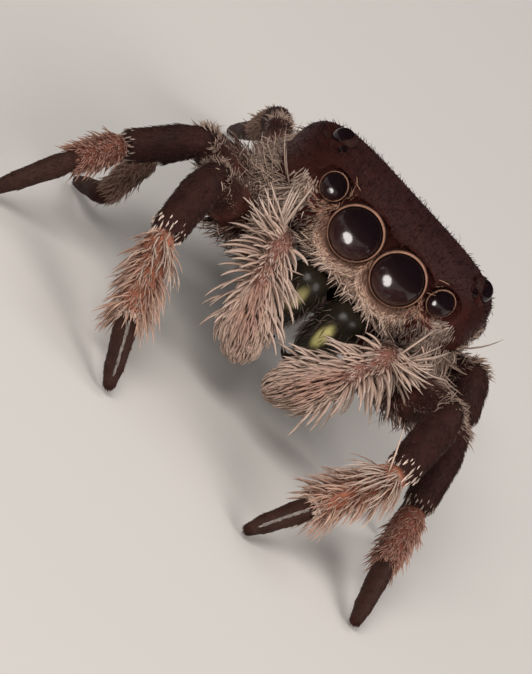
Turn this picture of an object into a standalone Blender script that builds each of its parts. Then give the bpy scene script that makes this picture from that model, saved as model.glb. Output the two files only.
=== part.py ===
"""A jumping spider at life size, standing on a floor with its head raised and its front legs forward.

It faces -Y with +Z up, and its own right side is at -X. Lengths are in millimetres until MM turns them
to metres. The body is divided as an arachnologist names it: carapace, sternum, waist, abdomen,
spinnerets, eight eyes, two chelicerae, two palps and eight legs of five pieces each.
"""

import math

import bmesh
import bpy
from mathutils import Matrix, Vector

MM = 0.001
GAP = 0.02  # left between pieces that meet

# The head: places are measured from the point midway between the two large front eyes.
EYE_HEIGHT = 3.5
HEAD_TILT = math.radians(2)

CARAPACE_LENGTH = 5.0
CARAPACE_HALF_WIDTH = 2.28
CARAPACE_FRONT = -0.08
CARAPACE_TOP = 0.76
FRONT_FALL = 0.17  # the crown is this much lower over the large eyes
CARAPACE_MARGIN = -1.12
CLYPEUS_EDGE = -0.78
CROWN_END = 2.5  # the flat crown ends here, and the slope to the waist begins
REAR_FALL = 1.42  # how far the slope falls
FACE_MIDDLE, REAR_MIDDLE = -0.35, -0.82  # the height of the middle line at both ends
FACE_BLUNTNESS, REAR_BLUNTNESS = 3.0, 2.3  # powers of the end curves seen from above, 2 being round
FACE_STEEPNESS = 10  # the same from the side

# Each eye: half its spacing, distance behind the large eyes, height, radius of its ball, and the
# direction that it looks in, as (turn outwards, turn upwards) in degrees.
EYES = {
    "front_middle": (0.512, 0.17, 0.0, 0.46, (3, 0)),
    "front_side": (1.30, 0.42, 0.19, 0.245, (22, 4)),
    "small": (1.60, 1.10, 0.55, 0.10, (70, 35)),
    "rear": (1.70, 1.50, 0.58, 0.22, (88, 36)),
}
RIM_SCALE = 1.2  # the rim is a larger ball, set back so that this much of the eye shows
RIM_SETBACK = 0.47

ABDOMEN_FRONT, ABDOMEN_LENGTH = 5.25, 4.7
ABDOMEN_HEIGHT = 1.85
ABDOMEN_DROOP = 0.85
ABDOMEN_HALF_WIDTH = 1.55
ABDOMEN_HALF_HEIGHT = 1.08

# Legs, by pair. The left coxa's two ends, as (outwards, back from the face). Then the lengths of femur,
# patella, tibia and foot, the foot being metatarsus and tarsus together, and their greatest thicknesses.
COXA_START = {1: (0.86, 1.18), 2: (0.98, 1.92), 3: (0.98, 2.72), 4: (0.86, 3.45)}
COXA_END = {1: (1.82, 0.62), 2: (2.06, 1.72), 3: (2.10, 2.86), 4: (1.82, 3.92)}
COXA_LEVEL, COXA_RISE = -1.56, 0.1
SEGMENTS = ("femur", "patella", "tibia", "foot")
LENGTHS = {
    1: (2.32, 1.50, 1.70, 1.36),
    2: (2.25, 1.40, 1.48, 1.52),
    3: (1.75, 0.85, 1.32, 1.28),
    4: (2.40, 1.15, 1.60, 2.00),
}
THICKNESS = {
    1: (0.98, 0.88, 0.84, 0.58),
    2: (0.88, 0.78, 0.74, 0.55),
    3: (0.84, 0.70, 0.64, 0.54),
    4: (0.88, 0.72, 0.66, 0.54),
}
COXA_THICKNESS = (0.62, 0.76)  # at its two ends
TOE_THICKNESS = 0.55

# How each leg is held: heading of femur, patella, tibia and foot, 0 straight ahead and positive
# outwards, then the rise of the first three. The foot's own fall is what brings its tip to the floor.
POSES = {
    ("right", 1): ((29, -7, -24, -28), (19, -41, -36)),
    ("left", 1): ((23, 2, -31, -27), (25, -42, -41)),
    ("right", 2): ((37, 60, 16, 53), (18, -45, -12)),
    ("left", 2): ((29, 35, 8, 8), (13, -60, -24)),
    ("right", 3): ((44, 65, 5, 161), (9, -60, -39)),
    ("left", 3): ((27, 50, 30, 140), (36, -50, -54)),
    ("right", 4): ((168, 177, 180, 174), (3, -12, -30)),
    ("left", 4): ((163, 172, 177, 172), (6, -10, -34)),
}

# Palps: femur start, knee and tip for the left one, from the head's own origin.
PALP_ROOT = Vector((1.08, 0.28, -1.34))
PALP_KNEE = Vector((1.32, -0.70, -0.70))
PALP_BEND = Vector((1.12, -1.04, -1.60))
PALP_TIP = Vector((0.36, -1.10, -2.57))


def clear_scene():
    for old in list(bpy.data.objects):
        bpy.data.objects.remove(old, do_unlink=True)


def make_collection(name):
    collection = bpy.data.collections.new(name)
    bpy.context.scene.collection.children.link(collection)
    return collection


clear_scene()
SPIDER = make_collection("jumping_spider")
CUTTERS = make_collection("cutters")


def make_empty(name, parent=None):
    empty = bpy.data.objects.new(name, None)
    empty.parent = parent
    SPIDER.objects.link(empty)
    return empty


BODY_FRAME = make_empty("body_frame")
HEAD_FRAME = make_empty("head_frame", BODY_FRAME)
HEAD_FRAME.location = (0, 0, EYE_HEIGHT * MM)
HEAD_FRAME.rotation_euler = (-HEAD_TILT, 0, 0)


def in_body(point):
    """A point of the head's frame, in the body's, both in millimetres."""
    return Matrix.Rotation(-HEAD_TILT, 3, "X") @ Vector(point) + Vector((0, 0, EYE_HEIGHT))


def make_material(name, colour, roughness):
    material = bpy.data.materials.new(name)
    material.use_nodes = True
    shader = material.node_tree.nodes["Principled BSDF"]
    shader.inputs["Base Color"].default_value = (*colour, 1)
    shader.inputs["Roughness"].default_value = roughness
    material.diffuse_color = (*colour, 1)
    return material


CUTICLE = make_material("dark_cuticle", (0.040, 0.020, 0.017), 0.55)
RUSTY = make_material("rusty_cuticle", (0.30, 0.105, 0.055), 0.6)
PALE_HAIR = make_material("pale_hair", (0.46, 0.33, 0.27), 0.8)
LENS = make_material("eye", (0.012, 0.006, 0.008), 0.08)
GREEN = make_material("green_chelicera", (0.06, 0.075, 0.02), 0.35)
GREY_HAIR = make_material("abdomen_coat", (0.075, 0.05, 0.042), 0.8)


def finish(name, bm, material, parent, collection=SPIDER):
    """Closes a mesh in millimetres as a smooth object in metres."""
    bmesh.ops.recalc_face_normals(bm, faces=bm.faces)
    if bm.calc_volume(signed=True) < 0:
        bmesh.ops.reverse_faces(bm, faces=bm.faces)
    bmesh.ops.scale(bm, vec=(MM, MM, MM), verts=bm.verts)
    mesh = bpy.data.meshes.new(name)
    bm.to_mesh(mesh)
    bm.free()
    mesh.shade_smooth()
    mesh.set_sharp_from_angle(angle=math.radians(50))
    mesh.materials.append(material)
    part = bpy.data.objects.new(name, mesh)
    part.parent = parent
    collection.objects.link(part)
    return part


def hide_as_cutter(part):
    part.hide_render = True
    part.display_type = "WIRE"


def add_boolean(part, other, operation):
    modifier = part.modifiers.new(f"{operation.lower()}_{other.name}", "BOOLEAN")
    modifier.operation = operation
    modifier.object = other


def powered(value, power):
    return math.copysign(abs(value) ** power, value)


def end_curve(share, power):
    """The reach of a rounded end, which falls from 1 to 0 as share goes from 0 to 1."""
    return max(1 - abs(share) ** power, 1e-6) ** (1 / power)


def smooth_step(start, end, value):
    t = min(max((value - start) / (end - start), 0), 1)
    return t * t * (3 - 2 * t)


def shaped_body(
    name, path, size, material, parent,
    across=(1, 0, 0), sides=16, rings=10, blunt=(2, 2), square=1.0,
):
    """A closed body along a path: a ball whose rings take their middle from path(t), t from 0 to 1,
    and their half width, depth below and height above the middle from size(t).

    blunt is the power of the end curves, 2 being round, and square under 1 makes the rings boxy.
    """
    bm = bmesh.new()
    bmesh.ops.create_uvsphere(bm, u_segments=sides, v_segments=rings, radius=1)
    step = 0.01
    for vert in bm.verts:
        s = max(min(vert.co.z, 1), -1)
        t = (1 + s) / 2
        tangent = (path(min(t + step, 1)) - path(max(t - step, 0))).normalized()
        side = Vector(across)
        side = (side - tangent * side.dot(tangent)).normalized()
        up = side.cross(tangent)
        around = math.hypot(vert.co.x, vert.co.y)
        power = blunt[0] if s < 0 else blunt[1]
        reach = end_curve(s, power) if around > 1e-6 else 0
        cos, sin = (vert.co.x / around, vert.co.y / around) if around > 1e-6 else (0, 0)
        half_width, below, above = size(t)
        vert.co = path(t) + reach * (
            side * half_width * powered(cos, square)
            + up * (above if sin > 0 else below) * powered(sin, square)
        )
    return finish(name, bm, material, parent)


def direction(side, turn, lift):
    """The unit vector turned outwards from straight ahead on that side, and lifted."""
    flat = math.cos(lift)
    return Vector((side * math.sin(turn) * flat, -math.cos(turn) * flat, math.sin(lift)))


def make_ball(name, centre, radius, sides, rings, material, collection=SPIDER):
    bm = bmesh.new()
    bmesh.ops.create_uvsphere(bm, u_segments=sides, v_segments=rings, radius=radius)
    bmesh.ops.rotate(bm, verts=bm.verts, matrix=Matrix.Rotation(math.radians(90), 3, "X"))
    bmesh.ops.translate(bm, verts=bm.verts, vec=centre)
    return finish(name, bm, material, HEAD_FRAME, collection)


# The carapace: a boxy shield, widest over the second pair of legs, with a flat crown that slopes
# to the waist.


def carapace_middle(t):
    return FACE_MIDDLE + (REAR_MIDDLE - FACE_MIDDLE) * smooth_step(0.4, 1, t)


def carapace_path(t):
    return Vector((0, CARAPACE_FRONT + CARAPACE_LENGTH * t, carapace_middle(t)))


def carapace_size(t):
    y = CARAPACE_LENGTH * t
    crown = CARAPACE_TOP - FRONT_FALL * (1 - smooth_step(0, 1.4, y))
    slope = REAR_FALL * smooth_step(CROWN_END - 0.4, CARAPACE_LENGTH + 0.4, y)
    margin = CLYPEUS_EDGE + (CARAPACE_MARGIN - CLYPEUS_EDGE) * smooth_step(0, 1.1, y)
    middle = carapace_middle(t)
    taller = 1
    if t < 0.5:  # the face stands up straighter than the outline seen from above
        taller = end_curve(1 - 2 * t, FACE_STEEPNESS) / end_curve(1 - 2 * t, FACE_BLUNTNESS)
    return CARAPACE_HALF_WIDTH, (middle - margin) * taller, (crown - slope - middle) * taller


def make_carapace():
    return shaped_body(
        "carapace", carapace_path, carapace_size, CUTICLE, HEAD_FRAME,
        sides=28, rings=18, blunt=(FACE_BLUNTNESS, REAR_BLUNTNESS), square=0.50,
    )


def make_eyes(carapace):
    """Each eye is a ball in a rim that rises from the carapace, cut out a little wider than the ball."""
    detail = {"front_middle": (16, 9), "front_side": (10, 7), "small": (8, 5), "rear": (10, 7)}
    sockets = []
    for kind, (spread, behind, height, radius, (outwards, upwards)) in EYES.items():
        turn, lift = math.radians(outwards), math.radians(upwards)
        sides, rings = detail[kind]
        for side, word in ((-1, "right"), (1, "left")):
            centre = Vector((side * spread, behind, height))
            gaze = direction(side, turn, lift)
            name = f"eye_{kind}_{word}"
            make_ball(name, centre, radius, sides, rings, LENS)
            rim_centre = centre - gaze * RIM_SETBACK * radius
            rim = make_ball(f"rim_{name}", rim_centre, RIM_SCALE * radius, sides, rings, CUTICLE, CUTTERS)
            socket = make_ball(f"socket_{name}", centre, radius + GAP, sides, rings, CUTICLE, CUTTERS)
            hide_as_cutter(rim)
            hide_as_cutter(socket)
            add_boolean(carapace, rim, "UNION")
            sockets.append(socket)
    for socket in sockets:
        add_boolean(carapace, socket, "DIFFERENCE")


def make_underside():
    """The sternum, an oval shield between the leg bases."""
    shaped_body(
        "sternum", lambda t: Vector((0, 1.0 + 2.9 * t, -1.5)),
        lambda t: (0.60 - 0.12 * t, 0.36, 0.28), CUTICLE, HEAD_FRAME, sides=12, rings=8, blunt=(2.4, 2.2),
    )


def fang_path(side, t):
    return Vector((side * (0.52 - 0.42 * t), 0.10 + 0.10 * t, -2.05 - 0.28 * math.sin(math.pi * 0.75 * t)))


def make_chelicerae():
    """Two stout jaws side by side under the face, each ending in a fang folded inwards."""
    for side, word in ((-1, "right"), (1, "left")):
        jaw = shaped_body(
            f"chelicera_{word}",
            lambda t, side=side: Vector((side * (0.445 - 0.03 * t), 0.16 + 0.02 * t, -0.85 - 1.32 * t)),
            lambda t: (0.41 - 0.06 * t, 0.50 - 0.12 * t, 0.50 - 0.12 * t),
            GREEN, HEAD_FRAME, sides=14, rings=9, blunt=(3.2, 2.6), square=0.9,
        )
        fang = shaped_body(
            f"fang_{word}",
            lambda t, side=side: fang_path(side, t), lambda t: (0.12 * (1 - 0.6 * t),) * 3,
            CUTICLE, HEAD_FRAME, across=(0, 1, 0), sides=8, rings=6,
        )
        SPIDER.objects.unlink(fang)
        CUTTERS.objects.link(fang)
        hide_as_cutter(fang)
        add_boolean(jaw, fang, "UNION")


def mirrored(point, side):
    return Vector((side * point.x, point.y, point.z))


def make_palps():
    """Each palp has a short thigh from the mouth, a knee below the outer eye, and a thick hairy end."""
    for side, word in ((-1, "right"), (1, "left")):
        root, knee, bend, tip = (mirrored(p, side) for p in (PALP_ROOT, PALP_KNEE, PALP_BEND, PALP_TIP))
        thigh_end = knee + (root - knee).normalized() * 0.26
        shaped_body(
            f"palp_upper_{word}", lambda t, a=root, b=thigh_end: a.lerp(b, t),
            lambda t: (0.25, 0.25, 0.25), CUTICLE, HEAD_FRAME, sides=10, rings=8, blunt=(4, 4),
        )
        shaped_body(
            f"palp_lower_{word}",
            lambda t, a=knee, b=bend, c=tip: a * (1 - t) ** 2 + b * 2 * t * (1 - t) + c * t * t,
            lambda t: (0.30 + 0.13 * smooth_step(0.15, 0.75, t),) * 3,
            PALE_HAIR, HEAD_FRAME, sides=12, rings=11, blunt=(2.4, 2.6),
        )


def make_rear():
    """The waist, the egg-shaped abdomen and the group of spinnerets at its end."""
    waist_start = in_body((0, CARAPACE_FRONT + CARAPACE_LENGTH + 2 * GAP, REAR_MIDDLE - 0.12))
    waist_end = Vector((0, ABDOMEN_FRONT - GAP, ABDOMEN_HEIGHT))
    rear = ABDOMEN_FRONT + ABDOMEN_LENGTH

    shaped_body(
        "abdomen",
        lambda t: Vector((0, ABDOMEN_FRONT + ABDOMEN_LENGTH * t, ABDOMEN_HEIGHT - ABDOMEN_DROOP * t)),
        lambda t: (
            ABDOMEN_HALF_WIDTH * (1 - 0.30 * smooth_step(0.40, 1.0, t)),
            ABDOMEN_HALF_HEIGHT * (1 - 0.35 * smooth_step(0.45, 1.0, t)),
            ABDOMEN_HALF_HEIGHT * (1 - 0.40 * smooth_step(0.45, 1.0, t)),
        ),
        GREY_HAIR, BODY_FRAME, sides=20, rings=14, blunt=(2.2, 2.0),
    )
    shaped_body(
        "waist", lambda t: waist_start.lerp(waist_end, t), lambda t: (0.3, 0.26, 0.26),
        CUTICLE, BODY_FRAME, sides=10, rings=6, blunt=(6, 6),
    )
    shaped_body(
        "spinnerets", lambda t: Vector((0, rear - 0.02 + 0.5 * t, ABDOMEN_HEIGHT - ABDOMEN_DROOP - 0.04 * t)),
        lambda t: (0.30 - 0.13 * t, 0.30 - 0.12 * t, 0.30 - 0.12 * t),
        CUTICLE, BODY_FRAME, sides=12, rings=7, blunt=(5, 2.5),
    )


def leg_joints(side, word, pair):
    """Joint centres from the coxa's inner end to the tip of the foot. Each segment points along its
    heading and rise. The foot falls by what its length needs to reach the floor."""
    start, end = COXA_START[pair], COXA_END[pair]
    joints = [in_body((side * start[0], start[1], COXA_LEVEL))]
    joints.append(in_body((side * end[0], end[1], COXA_LEVEL + COXA_RISE)))
    headings, rises = POSES[word, pair]
    for length, heading, rise in zip(LENGTHS[pair], headings, (*rises, None)):
        here = joints[-1]
        turn = math.radians(heading)
        lift = -math.asin(min(here.z / length, 0.999)) if rise is None else math.radians(rise)
        joints.append(here + length * direction(side, turn, lift))
    return joints


def swelling(piece, t):
    """Share of the greatest thickness at t along a leg piece, which is narrow at its joints."""
    narrow_start, narrow_end, peak = {
        "coxa": (0.80, 0.92, 0.6),
        "femur": (0.66, 0.66, 0.42),
        "patella": (0.70, 0.84, 0.50),
        "tibia": (0.84, 0.78, 0.38),
        "foot": (0.98, 0.90, 0.12),
    }[piece]
    low = narrow_start if t < peak else narrow_end
    away = (peak - t) / peak if t < peak else (t - peak) / (1 - peak)
    return low + (1 - low) * (1 - away**2.4)


def make_leg_piece(name, piece, ends, planes, thickness, across, material, sides=9, rings=5):
    """A piece of leg from ends[0] to ends[1], higher than wide, cut at each end by the plane there,
    given as its normal and the gap that it keeps to the joint's centre. Each line of points along the
    piece is shared out between the two planes, so no ring crosses either."""
    a, b = ends
    (near_normal, near_gap), (far_normal, far_gap) = planes
    axis = (b - a).normalized()
    side = (across - axis * across.dot(axis)).normalized()
    up = side.cross(axis)
    slim = {"coxa": 1.0, "femur": 0.80, "patella": 0.90, "tibia": 0.94, "foot": 1.0}[piece]
    bm = bmesh.new()
    loops = []
    for i in range(rings):
        t = (1 - math.cos(math.pi * i / (rings - 1))) / 2
        radius = thickness[0] + (thickness[1] - thickness[0]) * t
        radius *= swelling(piece, t) / 2
        loop = []
        for k in range(sides):
            turn = 2 * math.pi * k / sides
            offset = radius * (side * slim * math.cos(turn) + up * math.sin(turn))
            near = a + offset + axis * (near_gap - offset.dot(near_normal)) / axis.dot(near_normal)
            far = b + offset - axis * (far_gap + offset.dot(far_normal)) / axis.dot(far_normal)
            loop.append(bm.verts.new(near.lerp(far, t)))
        loops.append(loop)
    for low, high in zip(loops, loops[1:]):
        for k in range(sides):
            m = (k + 1) % sides
            bm.faces.new((low[k], low[m], high[m], high[k]))
    bm.faces.new(loops[0])
    bm.faces.new(loops[-1])
    return finish(name, bm, material, BODY_FRAME)


def make_legs():
    colours = dict(coxa=CUTICLE, femur=CUTICLE, patella=CUTICLE, tibia=RUSTY, foot=CUTICLE)
    down = Vector((0, 0, -1))
    for side, word in ((-1, "right"), (1, "left")):
        for pair in LENGTHS:
            joints = leg_joints(side, word, pair)
            axes = [(b - a).normalized() for a, b in zip(joints, joints[1:])]
            mitres = [(axes[0], 0)]
            mitres += [((first + second).normalized(), GAP / 2) for first, second in zip(axes, axes[1:])]
            mitres += [(down, 0)]
            across = axes[1].cross(Vector((0, 0, 1))).normalized()
            *most, foot = THICKNESS[pair]
            widths = [COXA_THICKNESS, *((width, width) for width in most), (foot, TOE_THICKNESS)]
            for i, piece in enumerate(("coxa", *SEGMENTS)):
                make_leg_piece(
                    f"leg{pair}_{word}_{piece}", piece, joints[i : i + 2], mitres[i : i + 2],
                    widths[i], across, colours[piece],
                )


def stand_at_origin():
    """Moves the body so that the middle of its box, seen from above, is the origin."""
    bpy.context.view_layer.update()
    graph = bpy.context.evaluated_depsgraph_get()
    corners = []
    for part in SPIDER.objects:
        if part.type == "MESH":
            solid = part.evaluated_get(graph)
            corners += [solid.matrix_world @ Vector(corner) for corner in solid.bound_box]
    for axis in (0, 1):
        places = [corner[axis] for corner in corners]
        BODY_FRAME.location[axis] = -(min(places) + max(places)) / 2


make_eyes(make_carapace())
make_underside()
make_chelicerae()
make_palps()
make_rear()
make_legs()
stand_at_origin()
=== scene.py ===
import math

import bpy
import numpy as np
from mathutils import Matrix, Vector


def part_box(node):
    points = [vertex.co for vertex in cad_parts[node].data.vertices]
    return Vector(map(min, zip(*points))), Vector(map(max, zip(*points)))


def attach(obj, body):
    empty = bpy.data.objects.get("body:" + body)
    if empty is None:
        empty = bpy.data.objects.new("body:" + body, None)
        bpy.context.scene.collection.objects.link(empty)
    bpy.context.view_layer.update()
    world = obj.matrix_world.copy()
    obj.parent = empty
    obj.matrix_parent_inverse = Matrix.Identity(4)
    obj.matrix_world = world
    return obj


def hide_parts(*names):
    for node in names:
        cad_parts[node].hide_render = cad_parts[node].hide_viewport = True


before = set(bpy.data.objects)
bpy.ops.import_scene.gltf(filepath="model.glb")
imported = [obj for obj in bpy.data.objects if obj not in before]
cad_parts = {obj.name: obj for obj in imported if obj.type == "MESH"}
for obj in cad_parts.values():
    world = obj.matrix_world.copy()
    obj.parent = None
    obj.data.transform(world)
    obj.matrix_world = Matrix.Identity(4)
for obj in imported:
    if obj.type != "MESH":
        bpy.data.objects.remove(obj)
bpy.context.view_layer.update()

# ---------------------------------------------------------------------------------------------
# The carapace. The front half of the body wears a hard shield of dark red-brown cuticle: a flat
# crown with the eyes at its corners, an upright face, and a slope down to the waist. It is one
# surface drawn over the frame's carapace, sunk by the depth of its coat.

MM = 0.001
HEAD_TILT = math.radians(2)
EYE_SETBACK = 0.17  # the large eyes' centres lie this far behind the head's origin, in mm
SIDES = ((-1, "right"), (1, "left"))
rng = np.random.default_rng(7)


def box_of(node):
    """The two corners of a node's box, in mm."""
    return np.array(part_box(node)) / MM


def middle_of(node):
    low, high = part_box(node)
    return np.array((low + high) / 2) / MM


def radius_of(node):
    low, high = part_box(node)
    return (high.z - low.z) / 2 / MM


def tipped(points):
    """Points of the head's own frame turned by its tilt about the X axis."""
    x, y, z = np.moveaxis(np.asarray(points, float), -1, 0)
    cos, sin = math.cos(HEAD_TILT), math.sin(HEAD_TILT)
    return np.stack([x, y * cos + z * sin, z * cos - y * sin], -1)


EYE_MIDDLE = (middle_of("eye_front_middle_left") + middle_of("eye_front_middle_right")) / 2
HEAD = EYE_MIDDLE - tipped((0, EYE_SETBACK, 0))


def from_head(points):
    """Points measured from the head's origin, in the model's frame, both in mm."""
    return HEAD + tipped(points)


def unit(vectors):
    return vectors / np.maximum(np.linalg.norm(vectors, axis=-1, keepdims=True), 1e-12)


def ease(start, end, value):
    """0 before start, 1 after end, and a smooth cubic step between them."""
    t = np.clip((value - start) / (end - start), 0, 1)
    return t * t * (3 - 2 * t)


def hump(value, middle, width):
    """A bell curve of height 1."""
    return np.exp(-(((value - middle) / width) ** 2))


def powered(value, power):
    """A power of the value's size that keeps its sign."""
    return np.sign(value) * np.abs(value) ** power


def plot(rows, columns):
    """Two grids: t from 0 to 1 along a body, closer together at its ends, and the turn round it."""
    t = (1 - np.cos(np.linspace(0, math.pi, rows))) / 2
    turn = np.arange(columns) / columns * 2 * math.pi
    return np.meshgrid(t, turn, indexing="ij")


def reach_of(t, front, rear):
    """How far a stretched ball reaches from its middle line: (1 - |1 - 2t|^power)^(1 / power), with one
    power for each half. It is 1 half way and 0 at both poles."""
    power = np.where(t < 0.5, front, rear)
    reach = np.clip(1 - np.abs(1 - 2 * t) ** power, 1e-6, None) ** (1 / power)
    return np.where((t <= 0) | (t >= 1), 0, reach)


def normals_of(grid):
    """Unit normals of a closed grid, from the cross product of its two directions, all outwards."""
    along = np.gradient(grid, axis=0)
    around = np.roll(grid, -1, axis=1) - np.roll(grid, 1, axis=1)
    normal = unit(np.cross(along, around))
    normal[0], normal[-1] = unit(normal[1].mean(axis=0)), unit(normal[-2].mean(axis=0))
    outward = np.sum(normal * (grid - grid.mean(axis=1, keepdims=True)), axis=-1).sum()
    return normal if outward > 0 else -normal


def mixed(first, second, share):
    """Two tones mixed by a share that has one value for each point."""
    share = np.asarray(share, float)[..., None]
    return np.asarray(first, float) * (1 - share) + np.asarray(second, float) * share


def mottle(points, size):
    """A soft irregular pattern from 0 to 1: three crossed waves about `size` mm long, bent by each other."""
    x, y, z = np.moveaxis(np.asarray(points) / size * 2 * math.pi, -1, 0)
    bent = np.sin(x + 1.3 * np.sin(0.7 * y + z)) + np.sin(1.1 * y + 1.7 * np.sin(0.8 * z - x))
    return 0.5 + (bent + np.sin(1.2 * z + 1.1 * np.sin(0.9 * x + y))) / 6


BLACK = (0.011, 0.006, 0.0058)
BROWN = (0.050, 0.023, 0.018)
RUST = (0.27, 0.105, 0.072)
CREAM = (0.42, 0.302, 0.243)
WHITE = (0.56, 0.445, 0.380)
GREY = (0.20, 0.152, 0.128)

CARAPACE_FRONT, CARAPACE_LENGTH, CARAPACE_HALF_WIDTH = -0.08, 5.0, 2.28
CARAPACE_TOP, CARAPACE_MARGIN, CLYPEUS_EDGE = 0.76, -1.12, -0.78
FACE_MIDDLE, REAR_MIDDLE = -0.35, -0.82
FRONT_FALL, REAR_FALL, CROWN_END = 0.17, 1.42, 2.1
BOXINESS = 0.50  # 1 would make the rings round
CARAPACE_COAT = 0.05
FOVEA = (0, 3.0, 0)  # the short groove on top where the muscles of the stomach are fixed

EYES = {  # how far each pair looks outwards and upwards, in degrees
    "front_middle": (3, 0),
    "front_side": (22, 4),
    "small": (70, 35),
    "rear": (88, 36),
}


def gaze_of(kind, side):
    turn, lift = (math.radians(angle) for angle in EYES[kind])
    flat = math.cos(lift)
    return tipped((side * math.sin(turn) * flat, -math.cos(turn) * flat, math.sin(lift)))


EYE_PLACES = [
    (kind, word, middle_of(f"eye_{kind}_{word}"), radius_of(f"eye_{kind}_{word}"), gaze_of(kind, side))
    for kind in EYES
    for side, word in SIDES
]


def across_eye(points, eye):
    """Distance along the eye's gaze and distance off it, in radii of the eye."""
    _, _, centre, radius, gaze = eye
    away = points - centre
    along = away @ gaze
    off = np.linalg.norm(away - along[..., None] * gaze, axis=-1)
    return along / radius, off / radius


def carapace_grid(rows, columns):
    """A ball stretched along Y whose rings are boxy ovals. The face is a steeper curve than the sides."""
    t, turn = plot(rows, columns)
    y = CARAPACE_LENGTH * t
    middle = FACE_MIDDLE + (REAR_MIDDLE - FACE_MIDDLE) * ease(0.4, 1, t)
    fall = FRONT_FALL * (1 - ease(0, 1.4, y)) + REAR_FALL * ease(CROWN_END, CARAPACE_LENGTH + 0.4, y)
    margin = CLYPEUS_EDGE + (CARAPACE_MARGIN - CLYPEUS_EDGE) * ease(0, 1.1, y)
    reach = reach_of(t, 3.0, 2.3)
    rise = np.where(t < 0.5, reach_of(t, 10, 10), reach)
    cos, sin = powered(np.cos(turn), BOXINESS), powered(np.sin(turn), BOXINESS)
    height = np.where(sin > 0, CARAPACE_TOP - fall - middle, middle - margin)
    x = CARAPACE_HALF_WIDTH * reach * cos
    return from_head(np.stack([x, CARAPACE_FRONT + y, middle + height * rise * sin], -1))


def capped(grid, rings):
    """The same body with the flat end at its first pole filled with rings that grow in step."""
    share = np.linspace(0, 1, rings + 1)[1:-1, None, None]
    return np.concatenate([grid[:1], grid[:1] + (grid[1:2] - grid[:1]) * share, grid[1:]])


def sink_round_eyes(points):
    """The surface kept behind a dish round each eye, so that the ball and its rim stand clear of it."""
    for eye in EYE_PLACES:
        kind, _, _, radius, gaze = eye
        along, off = across_eye(points, eye)
        wide = 2.1 if kind.startswith("front") else 1.7
        limit = 0.05 + 1.6 * ease(1.05, wide, off)
        over = np.where((off < wide) & (along > -1.5), np.clip(along - limit, 0, None), 0)
        points = points - (over * radius)[..., None] * gaze
    return points


def carapace_tone(points):
    """Dark red-brown, nearly black on the crown, and dull brown on the face below the eyes."""
    x, y, z = np.moveaxis(points - HEAD, -1, 0)
    crown = 0.55 * ease(-0.3, 0.4, z) + 0.35 * mottle(points, 0.9)
    tone = mixed((0.050, 0.0135, 0.0105), (0.026, 0.0075, 0.0062), crown)
    behind = ease(1.9, 3.0, y) * ease(0.30, 0.60, mottle(points, 1.3)) * (1 - ease(1.4, 2.0, np.abs(x)))
    tone = mixed(tone, (0.085, 0.046, 0.034), 0.55 * behind)
    face = (1 - ease(0.3, 0.8, y)) * (1 - ease(-0.30, -0.10, z))
    return mixed(tone, (0.20, 0.115, 0.085), 0.8 * face * (1 - ease(0.95, 1.15, np.abs(x))))


skin_parts = []  # every surface of the one skin, joined near the end of the file


def add_to_skin(grid, tone, corner, width, height):
    """Notes one closed surface of the skin, its tones, and the corner and size of its place on the unwrap."""
    skin_parts.append({"grid": grid, "tone": tone, "corner": corner, "size": (width, height)})
    return {"grid": grid, "normal": normals_of(grid)}


# A groove with a dip round it marks the top, and shallow furrows run out from it to the rear edge.
grid = sink_round_eyes(capped(carapace_grid(112, 170), 20))
normal = normals_of(grid)
x, y, _ = np.moveaxis(grid - HEAD - FOVEA, -1, 0)
on_top = normal[..., 2] > 0.3
groove = hump(x, 0, 0.07) * hump(y, 0, 0.22) * on_top
dip = hump(x, 0, 1.2) * hump(y, -0.15, 0.5) * on_top
furrows = (0.5 + 0.5 * np.cos(9 * np.arctan2(x, y))) * ease(0.4, 1.2, np.hypot(x, y))
furrows = furrows * ease(2.4, 3.2, y + FOVEA[1])
grid = grid - normal * (CARAPACE_COAT + 0.06 * groove + 0.05 * dip + 0.02 * furrows)[..., None]
carapace = add_to_skin(grid, carapace_tone(grid), (0.01, 0.51), 0.48, 0.48)

# ---------------------------------------------------------------------------------------------
# Hair. Every coat is made of single solid hairs: three-sided spines that curve and taper to a
# point, set in the skin at their roots. Short ones have two rings and long ones up to seven.

COAT_PATCH = 0.003  # the side of one hair's patch on its unwrap


def seamed(grid):
    """A grid with its first column again after its last."""
    return np.concatenate([grid, grid[:, :1]], axis=1)


def roots_at(part, s, turn):
    """Roots at given shares of the way along a surface and round it, bilinear between its grid's points."""
    grid, normals = seamed(part["grid"]), seamed(part["normal"])
    rows, columns = grid.shape[0] - 1, grid.shape[1] - 1
    turn = turn % 1
    row = np.minimum((s * rows).astype(int), rows - 1)
    column = np.minimum((turn * columns).astype(int), columns - 1)
    a, b = s * rows - row, turn * columns - column
    weights = ((1 - a) * (1 - b), a * (1 - b), (1 - a) * b, a * b)
    corners = ((row, column), (row + 1, column), (row, column + 1), (row + 1, column + 1))
    point = sum(w[:, None] * grid[c] for w, c in zip(weights, corners))
    normal = unit(sum(w[:, None] * normals[c] for w, c in zip(weights, corners)))
    along = unit(grid[row + 1, column] - grid[row, column])
    return {"point": point, "normal": normal, "along": along, "s": s, "turn": turn}


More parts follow.
